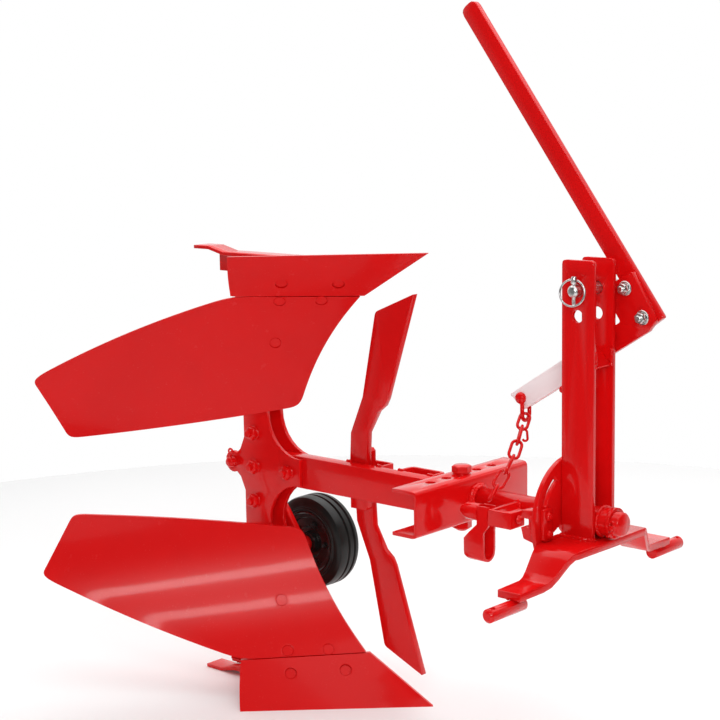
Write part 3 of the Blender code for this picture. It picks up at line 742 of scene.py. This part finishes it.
def shackle_head():
    mesh = bmesh.new()
    turn_solid(mesh, at(*SHACKLE_HEAD), NEAR, SHACKLE_DOME, 28)
    piece("shackle_pin_head", mesh, "red_paint", "roll_lever")


def split_pins():
    mesh = bmesh.new()
    for place, along, size in SPLIT_PINS:
        split_pin(mesh, at(*place), Vector(along).normalized(), FRONT, size)
    turn_solid(mesh, at(*SHAFT_KNOB), NEAR, SHAFT_KNOB_SHAPE, 20)
    piece("split_pins", mesh, "red_paint", "turnover_frame")


def lynch_pin():
    mesh = bmesh.new()
    low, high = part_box("lynch_pin")
    top = Vector(((low.x + high.x) / 2, (low.y + high.y) / 2, high.z))
    turn_solid(mesh, top, -UP, LYNCH_SHANK, 20)
    ring = arc_points(at(*LYNCH_RING), *LYNCH_PLANE, LYNCH_RING_RADIUS, 100, 430, 44)
    wire(mesh, ring, LYNCH_WIRE, 10)
    piece("lynch_pin_and_ring", mesh, "zinc_plate", "headstock_frame", ["lynch_pin"])


class PLOUGH_OT_fasteners(bpy.types.Operator):
    """Nuts, bolts, split pins and the lynch pin."""

    bl_idname = "plough.fasteners"
    bl_label = "Nuts, Bolts and Pins"

    def execute(self, context):
        frog_bolts()
        channel_bolt()
        catch_bolts()
        crank_bolts()
        shackle_head()
        split_pins()
        lynch_pin()
        return {"FINISHED"}


# ---- latch and chain -----------------------------------------------------------------------------
LATCH_Y = -0.075
LATCH_BACK_X, LATCH_BACK_NUT = -0.1318, (0.018, 0.0045)
LATCH_FRONT_X, LATCH_FRONT_NUT = -0.0858, (0.014, 0.003)
COIL_RADIUS, COIL_WIRE, COIL_TURNS, COIL_STEPS = 0.0090, 0.0014, 7, 14
COIL_INSET = 0.0015
CHAIN = ((-0.156, 0.041, 0.143), (-0.150, 0.021, 0.125), (-0.143, 0.001, 0.105), (-0.140, -0.016, 0.084),
         (-0.141, -0.034, 0.062), (-0.146, -0.051, 0.041), (-0.150, -0.065, 0.022))
CHAIN_BREAK = 2                 # links that go with the lever
CHAIN_FACE = Vector((0.66, -0.73, 0.16))
LINK_WIRE, LINK_HALF = 0.0027, 0.0083
LINK_TURNS = (8, 92)            # every second link stands square to the one before
HOOK_SIDE = Vector((0.75, 0.66, 0.0))
HOOK_WIRE, HOOK_BEND = 0.0021, 0.004


def chain_link(mesh, start, end, normal):
    """An oval link that reaches from start to end, square to normal."""
    line = (end - start).normalized()
    aside = line.cross(normal).normalized()
    first = start - line * LINK_WIRE + line * LINK_HALF
    last = end + line * LINK_WIRE - line * LINK_HALF
    loop = arc_points(first, aside, -line, LINK_HALF, 0, 180, 8)
    loop += arc_points(last, aside, -line, LINK_HALF, 180, 360, 8)
    wire(mesh, loop, LINK_WIRE, 10, closed=True)


def latch_coil():
    mesh = bmesh.new()
    low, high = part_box("latch_spring")
    y = at(0, LATCH_Y, 0).y
    length = high.x - low.x - 2 * COIL_INSET
    points = []
    for step in range(COIL_TURNS * COIL_STEPS + 1):
        turn = math.tau * step / COIL_STEPS
        x = low.x + COIL_INSET + length * step / (COIL_TURNS * COIL_STEPS)
        points.append(Vector((x, y + COIL_RADIUS * math.cos(turn), HITCH.z + COIL_RADIUS * math.sin(turn))))
    wire(mesh, points, COIL_WIRE, 8)
    piece("latch_coil", mesh, "red_paint", "turnover_frame", ["latch_spring"])


def latch_nuts():
    mesh = bmesh.new()
    hex_bolt(mesh, at(LATCH_BACK_X, LATCH_Y, 0), -FRONT, *LATCH_BACK_NUT)
    hex_bolt(mesh, at(LATCH_FRONT_X, LATCH_Y, 0), FRONT, *LATCH_FRONT_NUT)
    piece("latch_nuts", mesh, "red_paint", "turnover_frame")


def chain():
    """The chain in two lengths: the upper goes with the lever, the lower with the latch."""
    joints = [at(*point) for point in CHAIN]
    upper = bmesh.new()
    lower = bmesh.new()
    for index, (start, end) in enumerate(zip(joints, joints[1:])):
        line = (end - start).normalized()
        face = (CHAIN_FACE - line * CHAIN_FACE.dot(line)).normalized()
        normal = Matrix.Rotation(math.radians(LINK_TURNS[index % 2]), 3, line) @ face
        chain_link(upper if index < CHAIN_BREAK else lower, start, end, normal)
    top = joints[1]
    bend = top + Vector((0, 0, -0.018)) + HOOK_SIDE * 0.010
    points = [top + HOOK_SIDE * 0.004, top + HOOK_SIDE * 0.009 + Vector((0, 0, -0.006)), bend]
    points += arc_points(bend - HOOK_SIDE * HOOK_BEND, HOOK_SIDE, UP, HOOK_BEND, -20, -170, 6)
    wire(upper, points, HOOK_WIRE, 8)
    piece("chain_upper", upper, "red_paint", "roll_lever")
    piece("chain_lower", lower, "red_paint", "turnover_frame", ["chain_links"])


class PLOUGH_OT_latch(bpy.types.Operator):
    """Latch spring, nuts and the chain to the lever."""

    bl_idname = "plough.latch"
    bl_label = "Latch and Chain"

    def execute(self, context):
        latch_coil()
        latch_nuts()
        chain()
        return {"FINISHED"}


# ---- gauge wheel ---------------------------------------------------------------------------------
RIM_RADIUS = 0.0605
GROOVE_DEPTH, GROOVE_FLOOR, GROOVE_MOUTH = 0.0032, 0.0014, 0.0030       # half widths
GROOVES = (0.44, 0.72)          # places across the tread, as parts of its width
SHOULDER = ((0.0012, 0.006), (0.0038, 0.0018), (0.0085, 0.0003))        # in from the side and the tread
RIM_BOLTS, RIM_BOLT_RADIUS, RIM_BOLT_FOOT = 5, 0.0370, 0.0088
RIM_BOLT = (0.010, 0.0045, 0.002, 0.0028)
BEAD_SEAT = ((0.0015, 0.0), (0.0006, 0.004), (0.0020, 0.006), (0.0006, 0.008))     # out from the rim
SIDEWALL = (0.0004, 0.012)
RIM_LIP = ((0.0010, 0.0004), (0.0006, 0.0035), (0.0045, 0.0060), (0.0055, 0.0120), (0.0085, 0.0140))
RIM_DISH = ((0.0090, 0.0300), (0.0120, 0.0270), (0.0120, 0.0215), (0.0008, 0.0200), (0.0008, 0.0104))


def wheel_place():
    """Middle of the tyre's near side, its width and its radius."""
    low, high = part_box("wheel_tyre")
    centre = Vector(((low.x + high.x) / 2, low.y, (low.z + high.z) / 2))
    return centre, high.y - low.y, (high.z - low.z) / 2


def grooved(middle, tread):
    """Profile of one groove round the tread."""
    foot = tread - GROOVE_DEPTH
    return [(middle - GROOVE_MOUTH, tread), (middle - GROOVE_FLOOR, foot),
            (middle + GROOVE_FLOOR, foot), (middle + GROOVE_MOUTH, tread)]


def grooved_tyre():
    centre, width, tread = wheel_place()
    side_in, side_down = SIDEWALL
    profile = [(inward, RIM_RADIUS + out) for inward, out in BEAD_SEAT]
    profile.append((side_in, tread - side_down))
    profile += [(inward, tread - down) for inward, down in SHOULDER]
    for part in GROOVES:
        profile += grooved(width * part, tread)
    profile += [(width - inward, tread - down) for inward, down in reversed(SHOULDER)]
    profile += [(width - side_in, tread - side_down), (width - BEAD_SEAT[0][0], RIM_RADIUS)]
    mesh = bmesh.new()
    turn_solid(mesh, centre, FAR, profile, 128, closed=True)
    piece("grooved_tyre", mesh, "rubber", "gauge_wheel", ["wheel_tyre"], sharp=28)


def stepped_rim():
    centre, width, _ = wheel_place()
    half = [(inward, RIM_RADIUS - down) for inward, down in RIM_LIP]
    half += RIM_DISH
    profile = half + [(width - along, radius) for along, radius in reversed(half)]
    mesh = bmesh.new()
    turn_solid(mesh, centre, FAR, profile, 96, closed=True)
    for index in range(RIM_BOLTS):
        turn = math.tau * index / RIM_BOLTS
        spot = centre + Vector((math.cos(turn), 0, math.sin(turn))) * RIM_BOLT_RADIUS
        hex_bolt(mesh, spot + FAR * RIM_BOLT_FOOT, NEAR, *RIM_BOLT)
    piece("stepped_rim", mesh, "black_paint", "gauge_wheel", ["wheel_rim"], sharp=28)


class PLOUGH_OT_wheel(bpy.types.Operator):
    """Grooved tyre, stepped rim and rim bolts."""

    bl_idname = "plough.wheel"
    bl_label = "Gauge Wheel"

    def execute(self, context):
        grooved_tyre()
        stepped_rim()
        return {"FINISHED"}


# ---- welds ---------------------------------------------------------------------------------------
WELD_FULLNESS = 1.25
MAST_WELD, BRACE_WELD, STRAP_WELD = 0.0034, 0.0028, 0.0026      # radii before fullness
MAST_OUTLINES = (("mast_plate_right", "dabc"), ("mast_plate_left", "bcda"))
BRACE_Y = 0.0225                # inner faces of the mast plates
STRAP_WELD_LENGTH = 0.012
STRAP_Y, STRAP_Z = -0.0178, 0.0292
DECK_LIFT = 0.0006              # the mast's weld lies this far above the cross plate
HEAD_RINGS = ((0.0262, 0.0232, 0, 360, 0.0030), (-0.0348, 0.0225, 0, 360, 0.0026))
SHAFT_RINGS = ((-0.2235, 0.0215, 0, 360, 0.0042), (-0.2190, 0.0200, 20, 200, 0.0030))
HEAD_WELDS = (                  # start, end and radius on the left side; the right side mirrors them
    ((-0.0350, 0.034, -0.0262), (-0.0350, 0.076, -0.0262), 0.0030),
    ((-0.0440, 0.0645, 0.019), (-0.0440, 0.0645, -0.028), 0.0026),
    ((-0.0440, 0.0855, 0.019), (-0.0440, 0.0855, -0.028), 0.0026),
    ((-0.0110, 0.186, -0.0842), (-0.0110, 0.206, -0.0842), 0.0028),
    ((0.0110, 0.186, -0.0842), (0.0110, 0.206, -0.0842), 0.0028),
)
LATCH_WELDS = (
    ((-0.1300, -0.0190, -0.0136), (-0.1260, -0.0190, -0.0136), 0.0026),
    ((-0.1300, -0.0190, 0.0136), (-0.1260, -0.0190, 0.0136), 0.0026),
    ((-0.1315, -0.0200, -0.011), (-0.1315, -0.0200, 0.011), 0.0024),
    ((-0.1245, -0.0200, -0.011), (-0.1245, -0.0200, 0.011), 0.0024),
)
BEAM_WELDS = (                  # beam to channel, channel web, heels to frog plates
    ((-0.2768, -0.044, -0.0312), (-0.2768, -0.019, -0.0312), 0.0030),
    ((-0.2768, -0.044, 0.0312), (-0.2768, -0.019, 0.0312), 0.0030),
    ((-0.2320, -0.0455, -0.028), (-0.2320, -0.0455, 0.028), 0.0028),
    ((-0.2320, -0.0175, -0.028), (-0.2320, -0.0175, 0.028), 0.0028),
    ((-0.775, -0.0535, -0.3865), (-0.700, -0.0535, -0.3865), 0.0026),
    ((-0.775, -0.0535, 0.3865), (-0.700, -0.0535, 0.3865), 0.0026),
)


def outline_of(node, z, order):
    """Corners of a part's box at one level, in the order that the letters name."""
    low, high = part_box(node)
    corner = {"a": (low.x, low.y), "b": (high.x, low.y), "c": (high.x, high.y), "d": (low.x, high.y)}
    return [Vector((*corner[key], z)) for key in order]


def ring_lines(table):
    """Rings about the roll axis; a row holds X, ring radius, start and end angle and weld radius."""
    lines = []
    for x, radius, start, end, size in table:
        lines.append((arc_points(at(x, 0, 0), FAR, UP, radius, start, end, 18), size))
    return lines


def brace_lines():
    low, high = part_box("mast_brace")
    lines = []
    for x in (low.x, high.x):
        for side in (-1, 1):
            y = at(0, side * BRACE_Y, 0).y
            lines.append(([Vector((x, y, low.z + 0.001)), Vector((x, y, high.z - 0.001))], BRACE_WELD))
    return lines


def strap_lines():
    lines = []
    y = at(0, STRAP_Y, 0).y
    for node in ("knife_strap_rear", "knife_strap_front"):
        low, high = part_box(node)
        spans = ((low.x, low.x + STRAP_WELD_LENGTH), (high.x - STRAP_WELD_LENGTH, high.x))
        for z in (HITCH.z - STRAP_Z, HITCH.z + STRAP_Z):
            for start, end in spans:
                lines.append(([Vector((start, y, z)), Vector((end, y, z))], STRAP_WELD))
    return lines


def lines_of(table, side=1):
    """Weld lines of a table in the hitch frame, mirrored where side is -1."""
    return [([at(x, side * y, z) for x, y, z in (start, end)], radius) for start, end, radius in table]


def weld(name, lines, body, seed):
    mesh = bmesh.new()
    for index, (corners, radius) in enumerate(lines):
        bead(mesh, corners, radius * WELD_FULLNESS, seed + index)
    piece(name, mesh, "red_paint", body, sharp=60)


class PLOUGH_OT_welds(bpy.types.Operator):
    """Weld beads of the headstock and of the turnover frame."""

    bl_idname = "plough.welds"
    bl_label = "Weld Beads"

    def execute(self, context):
        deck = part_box("cross_plate")[1].z + DECK_LIFT
        lines = [(outline_of(node, deck, order), MAST_WELD) for node, order in MAST_OUTLINES]
        lines += brace_lines()
        lines += ring_lines(HEAD_RINGS) + lines_of(HEAD_WELDS, -1) + lines_of(HEAD_WELDS)
        weld("headstock_welds", lines, "headstock_frame", 0)

        lines = ring_lines(SHAFT_RINGS) + lines_of(LATCH_WELDS) + strap_lines() + lines_of(BEAM_WELDS)
        weld("turnover_welds", lines, "turnover_frame", 100)
        return {"FINISHED"}


# ---- stage ---------------------------------------------------------------------------------------
FLOOR_RADIUS = 2.1
FLOOR_PAINT = {"Base Color": (0.93, 0.93, 0.93, 1.0), "Roughness": 0.9}
WHITE = (1.0, 1.0, 1.0, 1.0)
SENSOR_WIDTH = 36.0
STRIP_LIGHTS = (("strip_low", 19.0, 1.3), ("strip_high", 33.0, 1.5))    # name, height angle, length
STRIP_TURN = math.radians(-44.5)
STRIP_REACH, STRIP_WIDTH = 3.7, 0.24
STRIP_AIM = (-0.68, -0.11, -0.21)               # the lower board
CEILING_PLACE, CEILING_AIM = (-0.3, 0.6, 2.6), (-0.3, 0.6, 0.0)
CEILING_SIZE = (5.0, 4.0)


def add_area(name, place, aim, size, power):
    data = bpy.data.lights.new(name, "AREA")
    data.shape = "RECTANGLE"
    data.size, data.size_y = size
    data.energy = power
    item = bpy.data.objects.new(name, data)
    bpy.context.scene.collection.objects.link(item)
    item.location = place
    item.rotation_euler = (aim - place).to_track_quat("-Z", "Y").to_euler()


def add_lights():
    look = stage_settings()
    aim = at(*STRIP_AIM)
    for name, height, length in STRIP_LIGHTS:
        rise = math.radians(height)
        level = math.cos(rise)
        way = Vector((math.cos(STRIP_TURN) * level, math.sin(STRIP_TURN) * level, math.sin(rise)))
        add_area(name, aim + way * STRIP_REACH, aim, (length, STRIP_WIDTH), look.strips)
    add_area("ceiling", at(*CEILING_PLACE), at(*CEILING_AIM), CEILING_SIZE, look.ceiling)


def add_camera():
    look = stage_settings()
    data = bpy.data.cameras.new("camera")
    data.sensor_width = SENSOR_WIDTH
    data.lens = look.lens
    data.clip_end = 100.0
    item = bpy.data.objects.new("camera", data)
    bpy.context.scene.collection.objects.link(item)
    turn, rise = look.azimuth, look.elevation
    back = Vector((math.sin(turn) * math.cos(rise), -math.cos(turn) * math.cos(rise), math.sin(rise)))
    right = Vector((math.cos(turn), math.sin(turn), 0.0))
    up = back.cross(right)
    tilt = Matrix.Rotation(look.roll, 3, back)
    axes = Matrix((tilt @ right, tilt @ up, back)).transposed()
    item.matrix_world = Matrix.Translation(at(*look.stand)) @ axes.to_4x4()
    bpy.context.scene.camera = item


def add_floor():
    mesh = bmesh.new()
    bmesh.ops.create_circle(mesh, cap_ends=True, segments=96, radius=FLOOR_RADIUS)
    data = bpy.data.meshes.new("floor")
    mesh.to_mesh(data)
    mesh.free()
    data.materials.append(Finish("pale_floor", FLOOR_PAINT).material)
    floor = bpy.data.objects.new("floor", data)
    bpy.context.scene.collection.objects.link(floor)


def studio_world():
    """A white backdrop all round; the light it gives darkens towards the camera's side of the studio."""
    look = stage_settings()
    world = bpy.data.worlds.new("studio")
    world.use_nodes = True
    studio = Graph(world.node_tree)
    backdrop = studio.tree.nodes["Background"]
    studio.join(WHITE, backdrop.inputs["Color"])
    away = (-math.sin(look.azimuth), math.cos(look.azimuth), 0.0)
    way = studio.node("ShaderNodeTexCoord", output="Generated")
    facing = studio.node("ShaderNodeVectorMath", {"operation": "DOT_PRODUCT"}, {0: way, 1: away}, "Value")
    levels = {"Value": facing, "From Min": look.dusk[0], "From Max": look.dusk[1],
              "To Min": look.dark, "To Max": look.backdrop}
    light = studio.node("ShaderNodeMapRange", inputs=levels)
    seen = studio.node("ShaderNodeLightPath", output="Is Camera Ray")
    strength = studio.node("ShaderNodeMix", inputs={"Factor": seen, "A": light, "B": look.backdrop})
    studio.join(strength, backdrop.inputs["Strength"])
    return world


class PLOUGH_OT_stage(bpy.types.Operator):
    """Camera, pale floor, white surroundings and soft lights."""

    bl_idname = "plough.stage"
    bl_label = "Set the Stage"

    def execute(self, context):
        add_floor()
        context.scene.world = studio_world()
        context.scene.view_settings.view_transform = "Standard"
        add_lights()
        add_camera()
        return {"FINISHED"}


# ---- panel and registration ----------------------------------------------------------------------
STEPS = (PLOUGH_OT_dress_frame, PLOUGH_OT_boards, PLOUGH_OT_fasteners, PLOUGH_OT_latch, PLOUGH_OT_wheel,
         PLOUGH_OT_welds, PLOUGH_OT_stage)


class PLOUGH_PT_sidebar(bpy.types.Panel):
    """Buttons for each group of pieces, and the settings."""

    bl_label = "Plough Looks"
    bl_space_type = "VIEW_3D"
    bl_region_type = "UI"
    bl_category = "Plough"

    def draw(self, context):
        for step in STEPS:
            self.layout.operator(step.bl_idname)
        for group in (context.scene.plough_paint, context.scene.plough_stage):
            for name in group.__annotations__:
                self.layout.prop(group, name)


CLASSES = (PloughPaint, PloughStage, *STEPS, PLOUGH_PT_sidebar)


def register():
    for item in CLASSES:
        bpy.utils.register_class(item)
    bpy.types.Scene.plough_paint = bpy.props.PointerProperty(type=PloughPaint)
    bpy.types.Scene.plough_stage = bpy.props.PointerProperty(type=PloughStage)


def unregister():
    del bpy.types.Scene.plough_stage
    del bpy.types.Scene.plough_paint
    for item in reversed(CLASSES):
        bpy.utils.unregister_class(item)


def main():
    register()
    for step in STEPS:
        group, name = step.bl_idname.split(".")
        getattr(getattr(bpy.ops, group), name)()


if __name__ == "__main__":
    main()
